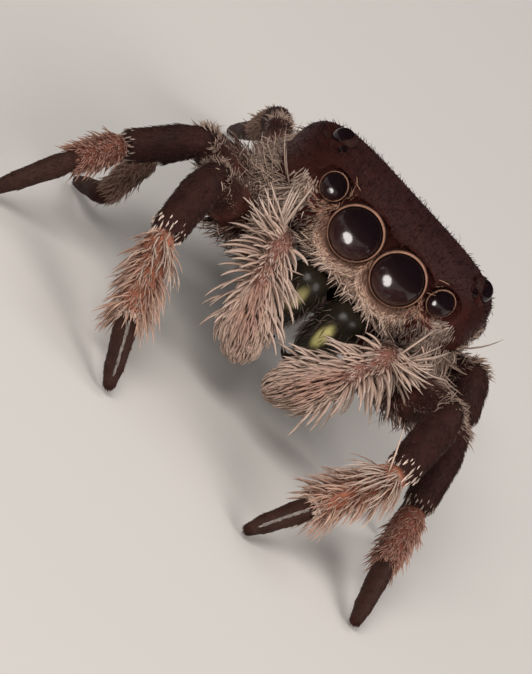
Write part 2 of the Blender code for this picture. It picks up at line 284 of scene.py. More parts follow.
def scatter(part, count, density):
    """Roots spread over a surface: cells are drawn by area times density, and roots lie evenly in them."""
    grid = seamed(part["grid"])
    rows, columns = grid.shape[0] - 1, grid.shape[1] - 1
    along = grid[1:, :-1] + grid[1:, 1:] - grid[:-1, :-1] - grid[:-1, 1:]
    around = grid[:-1, 1:] + grid[1:, 1:] - grid[:-1, :-1] - grid[1:, :-1]
    chance = np.linalg.norm(np.cross(along, around), axis=-1)
    if density is not None:
        middles = ((np.arange(size) + 0.5) / size for size in (rows, columns))
        chance = chance * density((grid[1:, 1:] + grid[:-1, :-1]) / 2, *np.meshgrid(*middles, indexing="ij"))
    cell = rng.choice(chance.size, count, p=(chance / chance.sum()).ravel())
    row, column = np.divmod(cell, columns)
    a, b = rng.random((2, count))
    return roots_at(part, (row + a) / rows, (column + b) / columns)


def hairs(roots, lie, rise, droop, length, width, tone, tip_tone=None, stray=0.25, rings=2, pull=(0, 0, 0),
          blunt=1.6):
    """One batch of hairs. A hair sets off at `rise` radians from the skin along its lie, has turned to
    `droop` radians at its tip, and is drawn a little towards `pull`. `stray` is the random part of its
    heading. Its lie and tones may be functions of the roots."""
    lie, tone, tip_tone = (value(roots) if callable(value) else value for value in (lie, tone, tip_tone))
    count = len(roots["point"])
    normal = roots["normal"]
    heading = unit(np.broadcast_to(lie, (count, 3))) + stray * rng.normal(size=(count, 3))
    heading = unit(heading - np.sum(heading * normal, axis=-1, keepdims=True) * normal)
    rise, droop = (np.broadcast_to(angle, count)[:, None] for angle in (rise, droop))
    rise = rise + 0.10 * rng.normal(size=(count, 1))
    tone = np.broadcast_to(tone, (count, 3)) * (1 + 0.16 * rng.normal(size=(count, 1))).clip(0.5, 1.6)
    tip = tone * 1.15 if tip_tone is None else np.broadcast_to(tip_tone, (count, 3))
    return {
        "root": roots["point"] - 0.02 * normal,
        "start": np.cos(rise) * heading + np.sin(rise) * normal,
        "end": unit(np.cos(droop) * heading + np.sin(droop) * normal + np.asarray(pull, float)),
        "side": np.cross(normal, heading),
        "length": np.broadcast_to(length, count) * rng.uniform(0.75, 1.15, count),
        "width": np.broadcast_to(width, count) * rng.uniform(0.8, 1.15, count),
        "tones": (tone, tip),
        "place": np.stack([roots["turn"], roots["s"]], -1),  # on the coat's unwrap
        "rings": rings,
        "blunt": blunt,
    }


def patch(part, count, density, lie, *shape, **more):
    """Hairs on roots scattered over a surface, by a density of their places or else evenly."""
    return hairs(scatter(part, count, density), lie, *shape, **more)


def lengthways(roots):
    """The lie of hairs that follow the part they grow on, from its root to its tip."""
    return roots["along"]


def varied(first, second, least=0.0, spread=1.0, power=1):
    """A tone drawn for each hair between two others."""
    return lambda roots: mixed(first, second, least + spread * rng.random(len(roots["s"])) ** power)


def spine_mesh(batch):
    """The mesh of a batch. A hair's centre line is root + length * (start t + (end - start) t^2 / 2), and
    its half width falls as 1 - t^blunt. A blunt hair's rings crowd towards its round tip."""
    rings, count = batch["rings"], len(batch["root"])
    t = 1 - np.linspace(1, 0, rings + 1)[:, None, None] ** (1.6 if batch["blunt"] > 2.5 else 1)
    start, end, length = batch["start"], batch["end"], batch["length"][:, None]
    line = batch["root"] + length * (start * t + (end - start) * t * t / 2)
    heading = unit(start + (end - start) * t)
    side = unit(batch["side"] - np.sum(batch["side"] * heading, axis=-1, keepdims=True) * heading)
    up = np.cross(side, heading)
    half = batch["width"][:, None] / 2 * (1 - t ** batch["blunt"])
    turn = np.arange(3) / 3 * 2 * math.pi
    ring = [line + half * (side * math.cos(a) + up * math.sin(a)) for a in turn]
    body = np.stack(ring, axis=2)[:-1].transpose(1, 0, 2, 3).reshape(count, rings * 3, 3)
    points = np.concatenate([body, line[-1][:, None]], axis=1)
    last = 3 * rings - 3
    faces = [(0, 2, 1)]
    for low in range(0, last, 3):
        for k in range(3):
            a, b = low + k, low + (k + 1) % 3
            faces += [(a, b, b + 3), (a, b + 3, a + 3)]
    faces += [(last + k, last + (k + 1) % 3, 3 * rings) for k in range(3)]
    loops = (np.array(faces) + np.arange(count)[:, None, None] * (3 * rings + 1)).ravel()
    share = np.append(np.repeat(np.arange(rings) / rings, 3), 1)
    root_tone, tip_tone = (tone[:, None] for tone in batch["tones"])
    tones = root_tone + (tip_tone - root_tone) * share[None, :, None]
    spot = np.stack([np.append(np.tile(np.cos(turn), rings), 0) / 2, share - 0.5], -1) * COAT_PATCH
    places = (np.clip(batch["place"], COAT_PATCH, 1 - COAT_PATCH)[:, None] + spot).reshape(-1, 2)
    sizes = np.full(len(loops) // 3, 3)
    return points.reshape(-1, 3), loops, sizes, tones.reshape(-1, 3), places[loops]


def joined(bodies):
    """One mesh from many, each given as points, corners, corners in each face, tones and corner places."""
    points, loops, sizes, tones, places = zip(*bodies)
    firsts = np.cumsum([0, *map(len, points)])
    loops = [corners + first for corners, first in zip(loops, firsts)]
    return [np.concatenate(arrays) for arrays in (points, loops, sizes, tones, places)]


def add_piece(name, body, material, nodes=None):
    """One piece from a mesh in mm, with the frame's nodes that it stands for."""
    points, loops, sizes, tones, places = body
    mesh = bpy.data.meshes.new(name)
    mesh.vertices.add(len(points))
    mesh.vertices.foreach_set("co", (points * MM).astype(np.float32).ravel())
    mesh.loops.add(len(loops))
    mesh.loops.foreach_set("vertex_index", loops.astype(np.int32))
    mesh.polygons.add(len(sizes))
    mesh.polygons.foreach_set("loop_start", (np.cumsum(sizes) - sizes).astype(np.int32))
    mesh.update(calc_edges=True)
    mesh.shade_smooth()
    if tones is not None:
        paint = mesh.color_attributes.new("tone", "FLOAT_COLOR", "POINT")
        shown = np.concatenate([tones, np.ones((len(tones), 1))], axis=1)
        paint.data.foreach_set("color", shown.astype(np.float32).ravel())
    unwrap = mesh.uv_layers.new(name="OFBake")
    unwrap.data.foreach_set("uv", places.astype(np.float32).ravel())
    mesh.materials.append(material)
    piece = bpy.data.objects.new(name, mesh)
    bpy.context.scene.collection.objects.link(piece)
    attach(piece, "root")
    if nodes is not None:
        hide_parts(*nodes)


class Wire:
    """One output of a node. A sum, difference, product or quotient adds its Math node."""

    def __init__(self, tree, socket=None):
        self.tree, self.socket = tree, socket

    def node(self, kind, settings=None, inputs=None, output=0):
        """Adds a node of that type, with its settings made first, then the values or wires of its inputs."""
        node = self.tree.nodes.new(kind)
        for name, value in (settings or {}).items():
            setattr(node, name, value)
        for name, value in (inputs or {}).items():
            if isinstance(value, Wire):
                self.tree.links.new(value.socket, node.inputs[name])
            else:
                node.inputs[name].default_value = value
        return Wire(self.tree, node.outputs[output])

    def math(self, operation, *values):
        return self.node("ShaderNodeMath", {"operation": operation}, dict(enumerate(values)))

    def __add__(self, other):
        return self.math("ADD", self, other)

    def __rsub__(self, other):
        return self.math("SUBTRACT", other, self)

    def __mul__(self, other):
        return self.math("MULTIPLY", self, other)

    def __truediv__(self, other):
        return self.math("DIVIDE", self, other)

    __radd__ = __add__
    __rmul__ = __mul__

    def clamped(self):
        return self.node("ShaderNodeClamp", None, {0: self})

    def colours(self, first, second):
        """A mix of two colours by this wire."""
        return self.node("ShaderNodeMix", {"data_type": "RGBA"}, {0: self, 6: first, 7: second}, 2)

    def shaded(self, shade):
        """This colour times a shade."""
        settings = {"data_type": "RGBA", "blend_type": "MULTIPLY"}
        return self.node("ShaderNodeMix", settings, {0: 1.0, 6: self, 7: shade}, 2)

    def bumped(self, strength, depth):
        """Normals for this wire's heights, which are so many mm deep."""
        settings = {"Strength": strength, "Distance": depth * MM, "Height": self}
        return self.node("ShaderNodeBump", None, settings)

    def feed(self, shader, name):
        self.tree.links.new(self.socket, shader.inputs[name])


def new_material(name, roughness, **fixed):
    """A material, its shader with the given fixed values, and a wire to start its expressions from."""
    material = bpy.data.materials.new(name)
    material.use_nodes = True
    shader = material.node_tree.nodes["Principled BSDF"]
    shader.inputs["Roughness"].default_value = roughness
    for socket, value in fixed.items():
        shader.inputs[socket.replace("_", " ")].default_value = value
    return material, shader, Wire(material.node_tree)


def own_tone(wire):
    """The tone that the mesh carries at each point."""
    return wire.node("ShaderNodeAttribute", {"attribute_name": "tone"})


def noise(wire, scale, detail=2.0):
    """Blender's noise at so many waves per mm."""
    place = wire.node("ShaderNodeTexCoord", output=3)
    inputs = {"Vector": place, "Scale": scale / MM, "Detail": detail, "Roughness": 0.5}
    return wire.node("ShaderNodeTexNoise", None, inputs)


def hair_material():
    """Dull hair: its own tone, a little lighter and darker along its length."""
    material, shader, wire = new_material("hair", 0.55, Specular_IOR_Level=0.03)
    own_tone(wire).shaded(noise(wire, 9) * 0.5 + 0.75).feed(shader, "Base Color")
    (noise(wire, 14) * 0.3 + 0.4).feed(shader, "Roughness")
    return material


HAIR = hair_material()


def grow(name, batches):
    """One coat piece from its batches of hairs."""
    add_piece(name, joined(spine_mesh(batch) for batch in batches), HAIR)


def shield_hairs(count, margin, density, lie, *shape, **more):
    """Hairs on the shield, off every eye's line of sight by at least `margin` radii. The density takes a
    spot's distance to either side of the head's origin, behind it and above it."""

    def chance(p, s, turn):
        x, y, z = np.moveaxis(p - HEAD, -1, 0)
        clear = 1
        for eye in EYE_PLACES:
            along, off = across_eye(p, eye)
            clear = clear * np.where((off < margin) & (along > -1), 0, 1)
        return clear * density(np.abs(x), y, z)

    return patch(carapace, count, chance, lie, *shape, **more)


def head_lie(roots):
    """The lie of the head's coat: back over the crown and flanks, down and outwards on the face."""
    x, y, z = np.moveaxis(roots["point"] - HEAD, -1, 0)
    face = (1 - ease(0.15, 0.9, y)) * (1 - ease(0.2, 0.5, z))
    back = np.stack([0.15 * x, np.ones_like(x), -0.25 - 0.2 * ease(1.5, 2.2, np.abs(x))], -1)
    down = np.stack([0.25 * x, np.zeros_like(x), -np.ones_like(x)], -1)
    return mixed(back, down, face)


def shield_tone(roots):
    """The shield's own tone, a little redder, with a few greyer patches."""
    spots = roots["point"]
    return mixed(carapace_tone(spots) + (0.010, 0.001, 0.001), GREY, 0.05 * (mottle(spots, 0.5) > 0.62))


# The four numbers in a row in each call are the hairs' rise, droop, length and width. First comes the
# short dark pile of the shield, all over but the eyes, then a scatter of longer hairs.
pile = shield_hairs(
    17500, 1.12, lambda x, y, z: 1 - 0.6 * (z < -1.08), head_lie, 0.30, 0.02, 0.15, 0.018, shield_tone,
    stray=0.22,
)
bristles = shield_hairs(
    500, 1.3, lambda x, y, z: ease(-0.2, 0.2, z), head_lie, 0.6, 0.2, 0.24, 0.013, BLACK, rings=3, stray=0.3,
)
# A loose fringe round the shield's rear edge hangs over the waist.
fringe = shield_hairs(
    420, 0, lambda x, y, z: ease(3.9, 4.6, y) * (z > -1.2), (0, 1.0, -0.2), 0.5, 0.1, 0.40, 0.024,
    varied(BROWN, GREY), rings=3, stray=0.3,
)
grow("carapace_coat", [pile, bristles, fringe])

# ---------------------------------------------------------------------------------------------
# The eyes. Eight balls of clear cuticle over a dark cup: two large ones that look ahead, two beside
# them, and four small ones on the crown's edges. Each sits in a raised rim of the skin.


def turned(centre, axis, along, off, columns):
    """A profile turned about an axis, given as how far along it and off it each ring lies."""
    turn = np.arange(columns) / columns * 2 * math.pi
    side = unit(np.cross(axis, (0.1, 0.2, 1)))
    ring = np.cos(turn)[:, None] * side + np.sin(turn)[:, None] * np.cross(axis, side)
    return centre + along[:, None, None] * axis + off[:, None, None] * ring


def closed_faces(rows, columns):
    """Corners, face sizes and unwrap places of a grid that is closed round and at both poles: quads with a
    fan of triangles at each pole. Its points are the first pole, the inner rows and the last pole."""
    i, j = np.meshgrid(np.arange(rows), np.arange(columns + 1), indexing="ij")
    index = 1 + (i - 1) * columns + j % columns
    index[0], index[-1] = 0, 1 + (rows - 2) * columns
    place = np.stack([j / columns, i / (rows - 1)], -1)
    place[[0, -1], :, 0] += 0.5 / columns

    def cells(low, high, offsets):
        """The corners of the cells in some rows, each at a step down and across from the cell's first."""
        picked = [(slice(low + down, high + down), slice(over, columns + over)) for down, over in offsets]
        corners, places = (np.stack([array[cell] for cell in picked], 2) for array in (index, place))
        return corners.ravel(), places.reshape(-1, 2), np.full(corners[..., 0].size, len(offsets))

    quads = cells(1, rows - 2, ((0, 0), (1, 0), (1, 1), (0, 1)))
    first_fan = cells(0, 1, ((0, 0), (1, 0), (1, 1)))
    last_fan = cells(rows - 2, rows - 1, ((1, 0), (0, 1), (0, 0)))
    loops, places, sizes = (np.concatenate(arrays) for arrays in zip(quads, first_fan, last_fan))
    return loops, sizes, places


def poles_and_rows(grid):
    """A grid's points in a row, with each pole once."""
    return np.concatenate([grid[:1, 0], grid[1:-1].reshape(-1, 3), grid[-1:, 0]])


def closed_body(grid, tone=None, corner=(0, 0), size=(1, 1)):
    """The mesh of one closed grid, unwrapped to a place of the given corner and size. If it came out inside
    out, each face's corners are taken in the other order."""
    points = poles_and_rows(grid)
    loops, sizes, places = closed_faces(*grid.shape[:2])
    firsts = np.cumsum(sizes) - sizes
    a, b, c = (points[loops[firsts + k]] for k in range(3))
    if np.sum(np.cross(b - a, c - a) * (a - points.mean(axis=0))) <= 0:
        order = np.repeat(2 * firsts + sizes - 1, sizes) - np.arange(len(loops))
        loops, places = loops[order], places[order]
    tones = None if tone is None else poles_and_rows(tone)
    return points, loops, sizes, tones, np.array(corner) + places * np.array(size)


def eye_material():
    """A wet black-brown lens with painted light: a shade lighter and redder low down, standing for light that
    comes back through it.
    """
    material, shader, wire = new_material("lens", 0.16, Specular_IOR_Level=0.40, IOR=1.5)
    height = wire.node("ShaderNodeSeparateXYZ", None, {0: wire.node("ShaderNodeTexCoord", output=3)}, 2)
    # Painted light: the lens's base colour grows lighter and redder towards its lower part.
    low = ((HEAD[2] * MM - height) / (0.5 * MM) + 0.5).clamped()
    painted_glow = (low * (noise(wire, 1.2) * 0.6 + 0.7)).clamped()
    painted_glow.colours((0.030, 0.015, 0.020, 1), (0.085, 0.038, 0.040, 1)).feed(shader, "Base Color")
    return material


LENS = eye_material()
angle = np.linspace(0, math.pi, 40)
for kind, word, centre, radius, gaze in EYE_PLACES:
    name = f"eye_{kind}_{word}"
    ball = turned(centre, gaze, -radius * np.cos(angle), radius * np.sin(angle), 56)
    add_piece(f"{name}_ball", closed_body(ball), LENS, [name])

# A rim is a lip turned about the eye's line of sight, as (along, off the line) in radii of the eye.
RIM = (
    (-0.60, 0.0), (-0.60, 0.7), (-0.45, 1.10), (-0.15, 1.13), (0.03, 1.10), (0.12, 1.085), (0.185, 1.075),
    (0.225, 1.06), (0.245, 1.035), (0.24, 1.01), (0.20, 0.99), (0.10, 0.96), (-0.2, 0.7), (-0.2, 0.0),
)
RIM_TAN, RIM_DARK = (0.36, 0.195, 0.135), (0.022, 0.010, 0.009)


def smooth_run(points, count):
    """A smooth curve with `count` points through a short list of points, by Catmull and Rom's rule."""
    points = np.asarray(points, float)
    padded = np.concatenate([2 * points[:1] - points[1:2], points, 2 * points[-1:] - points[-2:-1]])
    place = np.linspace(0, len(points) - 1, count)
    i = np.minimum(place.astype(int), len(points) - 2)
    t = (place - i)[:, None]
    a, b, c, d = (padded[i + k] for k in range(4))
    return b + 0.5 * t * (c - a + t * (2 * a - 5 * b + 4 * c - d + t * (3 * (b - c) + d - a)))


def past(eye, back, inside):
    """A density: 1 where a spot on an eye's rim is ahead of `back` and further off the line than `inside`."""

    def chance(p, s, turn):
        along, off = across_eye(p, eye)
        return (along > back) * (off > inside)

    return chance


rim_hairs = []
for place, eye in enumerate(EYE_PLACES):
    kind, _, centre, radius, gaze = eye
    front = kind.startswith("front")
    run = smooth_run(RIM, 34) * radius
    off = np.clip(run[:, 1], 0, None)
    off[[0, -1]] = 0
    grid = turned(centre, gaze, run[:, 0], off, 64 if radius > 0.2 else 32)
    along, off = across_eye(grid, eye)
    lip = ease(0.10, 0.19, along) * ease(1.0, 1.03, off) * (0.6 + 0.4 * mottle(grid, 0.25))
    tone = mixed((0.030, 0.014, 0.012), RIM_TAN if front else RIM_DARK, lip)
    rim = add_to_skin(grid, tone, (0.51 + 0.06 * place, 0.94), 0.055, 0.05)
    if front:
        # Sparse tan hairs that swirl round the large eyes' rims.
        rim_hairs.append(patch(
            rim, int(300 * radius), past(eye, 0.02, 1.04),
            lambda roots: np.cross(gaze, roots["point"] - centre) * 0.9 + roots["point"] - centre,
            0.4, 0.1, 0.06, 0.014, (0.38, 0.21, 0.14), stray=0.4,
        ))
    else:
        rim_hairs.append(patch(
            rim, int(1300 * radius), past(eye, -0.55, 1.02), head_lie, 0.4, 0.1, 0.11, 0.018,
            lambda roots: carapace_tone(roots["point"]), stray=0.3,
        ))

# ---------------------------------------------------------------------------------------------
# The face. Short soft hair covers the clypeus below the large eyes and ends in a cream fringe over
# the jaws. Pale bands run down beside the small front eyes, with a grey-brown cheek inside each.


def near_face(x, y, z, low, high, half_width, soft=0.08):
    """1 on the front of the head between two heights, within a half width, and 0 elsewhere."""
    tall = ease(low - soft, low + soft, z) * (1 - ease(high - soft, high + soft, z))
    return tall * (1 - ease(half_width - soft, half_width + soft, x)) * (y < 0.9)


def fanned(share, forward, down):
    """A lie that fans out from the middle of the face on its way down."""

    def lie(roots):
        x = roots["point"][:, 0] - HEAD[0]
        return np.stack([share * x, np.full_like(x, -forward), np.full_like(x, -down)], -1)

    return lie


def outwards(sideways, backwards, up):
    """A lie that is mirrored on the two sides of the head."""
    return lambda roots: np.sign(roots["point"][:, :1] - HEAD[0]) * (sideways, 0, 0) + (0, backwards, up)


def clypeus_tone(roots):
    """Pinkish brown beside the large eyes' rims and cream below."""
    p = roots["point"]
    off = np.minimum(*(across_eye(p, eye)[1] for eye in EYE_PLACES[:2]))
    bright = (0.15 + 0.85 * ease(1.12, 1.4, off)) * ease(-0.15, -0.45, p[:, 2] - HEAD[2])
    return mixed((0.30, 0.170, 0.122), (0.52, 0.385, 0.305), bright * (0.5 + 0.5 * rng.random(len(p))))


# Soft hair over the whole clypeus, then the longer fringe that hangs from its edge over the jaws.
under_eyes = shield_hairs(
    4200, 1.08,
    lambda x, y, z: np.maximum(near_face(x, y, z, -0.86, 0.12, 1.08), near_face(x, y, z, -0.20, 0.0, 1.50)),
    fanned(0.5, 0.1, 1.0), 0.40, 0.05, 0.15, 0.024, clypeus_tone, rings=3, stray=0.3, blunt=2.2,
)
fringe = shield_hairs(
    420, 0, lambda x, y, z: near_face(x, y, z, -0.84, -0.62, 0.98, 0.05), fanned(0.7, 0.3, 0.9),
    0.42, -0.15, 0.38, 0.034, varied(CREAM, WHITE, spread=0.8), rings=4, pull=(0, 0, -0.5), blunt=2.6,
)
# The pale bands from beside each small front eye down and in to the palp's root, darker on the left by
# painted shade.
cheeks = shield_hairs(
    2400, 1.15, lambda x, y, z: hump(x, 1.66, 0.14) * (z > -1.05) * (1 - ease(-0.08, 0.12, z)) * (y < 1.9),
    outwards(-0.15, -0.1, -1), 0.38, 0.02, 0.22, 0.024,
    # Painted shade: the left band's tone is cut to 0.62, against 0.82 on the right.
    lambda roots: varied(CREAM, WHITE)(roots) * np.where(roots["point"][:, :1] > HEAD[0], 0.62, 0.82),
    rings=3, blunt=2.2,
)
# Short grey-brown hair on the dark cheeks between those bands and the clypeus.
dark_cheeks = shield_hairs(
    460, 1.15, lambda x, y, z: near_face(x, y, z, -0.85, -0.12, 1.60) * (x > 1.0), outwards(0.35, -0.1, -1),
    0.42, 0.05, 0.19, 0.024, varied(BROWN, GREY, 0.55, 0.45), rings=3, stray=0.35, blunt=2.2,
)
# A few rusty hairs between the eyes that sweep up and outwards.
tufts = shield_hairs(
    28, 1.1, lambda x, y, z: hump(x, 1.02, 0.07) * hump(z, 0.22, 0.20) * (y < 0.7), outwards(0.8, 0, 0.6),
    0.6, 0.15, 0.22, 0.019, (0.33, 0.19, 0.125), rings=5, stray=0.3, blunt=3,
)
# Long soft greyish hair down the flanks and under the margin.
flanks = shield_hairs(
    1900, 0, lambda x, y, z: ease(1.55, 1.95, x) * (z < -0.35) * (y < 4.2), outwards(0.5, 0.35, -0.8),
    0.6, 0.0, 0.52, 0.027, varied(GREY, CREAM, spread=0.7), rings=4, stray=0.5, pull=(0, 0, -0.3),
)
# Longer wavy hair at the front corners, over the roots of the palps and the first legs.
corners = shield_hairs(
    190, 0, lambda x, y, z: ease(1.50, 1.75, x) * (z < -0.40) * (y < 1.7), outwards(0.8, -0.25, -0.55),
    0.75, 0.15, 0.80, 0.036, varied(GREY, CREAM, 0.2, 0.7), rings=6, stray=0.45, pull=(0, 0, -0.25), blunt=3,
)
grow("face_coat", [*rim_hairs, under_eyes, fringe, cheeks, dark_cheeks, tufts, flanks, corners])

# ---------------------------------------------------------------------------------------------
# The jaws. Two stout chelicerae of polished olive cuticle, each with a dark fang folded inwards at its end.
# On their fronts a yellow-green patch is painted sheen, a reflection fixed in the colour, stronger on the
# left jaw.


def jaw_grid(side, rows, columns):
    """An upright barrel, thickest above its middle, with a blunt end."""
    t, turn = plot(rows, columns)
    reach = reach_of(t, 3.2, 2.6) * (1 + 0.05 * hump(t, 0.35, 0.25))
    width, depth = 0.40 - 0.06 * t, 0.48 - 0.12 * t
    x = side * (0.445 - 0.03 * t) + width * reach * powered(np.cos(turn), 0.9)
    y = 0.16 + 0.02 * t + depth * reach * powered(np.sin(turn), 0.9)
    return from_head(np.stack([x, y, -0.85 - 1.32 * t], -1))


def fang_grid(side, rows, columns):
    """A hooked spike whose centre line swings down and in."""
    t, turn = plot(rows, columns)
    radius = 0.12 * (1 - 0.75 * t) * reach_of(t, 6, 6)
    swing, drop = 0.75 * math.pi, 0.30
    line = np.stack([side * (0.52 - 0.42 * t), 0.10 + 0.10 * t, -2.02 - drop * np.sin(swing * t)], -1)
    slope = -drop * swing * np.cos(swing * t)
    tangent = unit(np.stack([np.full_like(t, -side * 0.42), np.full_like(t, 0.1), slope], -1))
    across = unit(np.cross(tangent, (0, 1, 0)))
    ring = np.cos(turn)[..., None] * across + np.sin(turn)[..., None] * np.cross(across, tangent)
    return from_head(line + radius[..., None] * ring)


def jaw_material():
    """Polished olive-black cuticle in its own tones, which carry a painted yellow-green sheen on the front,
    with fine cross wrinkles.
    """
    material, shader, wire = new_material("jaw", 0.28, Specular_IOR_Level=0.20)
    own_tone(wire).feed(shader, "Base Color")
    grain = noise(wire, 12, detail=3)
    (grain * 0.25 + 0.16).feed(shader, "Roughness")
    grain.bumped(0.35, 0.008).feed(shader, "Normal")
    return material


JAW = jaw_material()
# The colour of the jaws' painted sheen, and their own olive-black.
GREEN_PAINTED_SHEEN, OLIVE = (0.66, 0.60, 0.24), (0.014, 0.011, 0.007)
jaw_hairs = []
for side, word in SIDES:
    grid = jaw_grid(side, 60, 64)
    # Painted sheen: a bright yellow-green patch on the jaw's front, stronger on the left jaw, stands for
    # reflected light.
    away = grid - from_head((side * 0.38, -0.3, -1.52 if side > 0 else -1.40))
    painted_sheen = hump(away[..., 0], 0, 0.13) * hump(away[..., 2], 0, 0.30) * (grid[..., 1] < HEAD[1] + 0.15)
    painted_glint = np.clip((1.2 if side > 0 else 0.45) * ease(0.25, 0.9, painted_sheen), 0, 1)
    tone = mixed(OLIVE, GREEN_PAINTED_SHEEN, painted_glint * (0.6 + 0.4 * mottle(grid, 0.12)))
    add_piece(f"jaw_{word}", closed_body(grid, tone), JAW, [f"chelicera_{word}"])
    fang = fang_grid(side, 30, 24)
    add_piece(f"fang_{word}", closed_body(fang, np.broadcast_to(BLACK, fang.shape)), JAW, [])
    jaw_hairs.append(patch(
        {"grid": grid, "normal": normals_of(grid)}, 260,
        lambda p, s, turn: (s > 0.25) * (p[..., 1] < HEAD[1] + 0.5),
        (-side * 0.3, -0.1, -1.0), 0.5, 0.3, 0.22, 0.013, varied(GREY, BROWN), rings=3, stray=0.4,
    ))
grow("jaw_coat", jaw_hairs)

# ---------------------------------------------------------------------------------------------
# The palps. Two short feelers of rusty cuticle beside the jaws. Long cream hairs fan out from both
# sides of each, all the way from its knee to the dense round brush at its end.

# The left palp's root and knee, the bend that its outer part curves by, and its tip, from the head's origin.
PALP_POINTS = ((1.08, 0.28, -1.34), (1.32, -0.70, -0.70), (1.12, -1.04, -1.60), (0.36, -1.10, -2.57))
PALP_RADII = (  # by share of the length
    (0, 0.17), (0.22, 0.21), (0.33, 0.155), (0.40, 0.20), (0.50, 0.155), (0.57, 0.19), (0.66, 0.165),
    (0.84, 0.27), (1, 0.22),
)
PALP_COMBS = (  # number, from, to, turn forward, first and last lean, curl, length, width, share of rust
    (14, 0.33, 0.79, 0.00, -0.40, 0.62, 0.70, 0.80, 0.070, 0.12),
    (12, 0.34, 0.79, 0.06, -0.30, 0.62, 0.70, 0.66, 0.064, 0.16),
    (13, 0.36, 0.82, 0.11, -0.10, 0.75, 0.55, 0.44, 0.052, 0.30),
    (16, 0.36, 0.84, 0.16, 0.10, 0.80, 0.50, 0.26, 0.046, 0.44),
)
PALP_BRUSH = (  # number, from, to, droop, length
    (450, 0.60, 0.84, -0.30, 0.54),
    (460, 0.80, 1.01, -0.35, 0.36),
)


def distances(points):
    """How far along a line each of its points lies."""
    return np.append(0, np.cumsum(np.linalg.norm(np.diff(points, axis=0), axis=-1)))


def running_mean(points, window):
    """A line with each point moved to the mean of the `window` points round it."""
    return np.stack([np.convolve(points[:, k], np.ones(window) / window, "same") for k in range(3)], -1)


def tube_grid(line, radius, across, columns, slim=1.0):
    """Rings of the given radii round a line of points, closed to a point at both ends. Each ring's side is
    `across`, made square to the line, and its width is `slim` times its height."""
    tangent = unit(np.gradient(line, axis=0))
    side = unit(across - np.sum(across * tangent, axis=-1, keepdims=True) * tangent)
    up = np.cross(side, tangent)
    turn = np.arange(columns) / columns * 2 * math.pi
    ring = slim * np.cos(turn)[:, None] * side[:, None] + np.sin(turn)[:, None] * up[:, None]
    radius = np.concatenate([[0], radius[1:-1], [0]])
    return line[:, None] + radius[:, None, None] * ring


def keyed(s, keys):
    """A smooth profile through (place, value) pairs, eased from each to the next."""
    places, values = np.array(keys).T
    i = np.clip(np.searchsorted(places, s, side="right") - 1, 0, len(places) - 2)
    return values[i] + (values[i + 1] - values[i]) * ease(places[i], places[i + 1], s)


def round_ends(s, length, radius):
    """Shrinks a profile to a half round over the last `radius` of a run of the given length."""
    near = np.minimum(s, 1 - s) * length / radius
    return np.sqrt(np.clip(1 - (1 - np.clip(near, 0, 1)) ** 2, 0, 1))


def short_palp_tone(roots):
    """Pinkish past the knee, and pale where one piece ends and the next begins."""
    s = roots["s"]
    pale = np.clip(sum(hump(s, place, 0.03) for place in (0.43, 0.54, 0.64)), 0, 1)
    coat = mixed(BROWN, (0.30, 0.155, 0.12), ease(0.25, 0.36, s))
    return mixed(coat, WHITE, np.maximum(0.85 * pale, 0.35 * rng.random(len(s))))


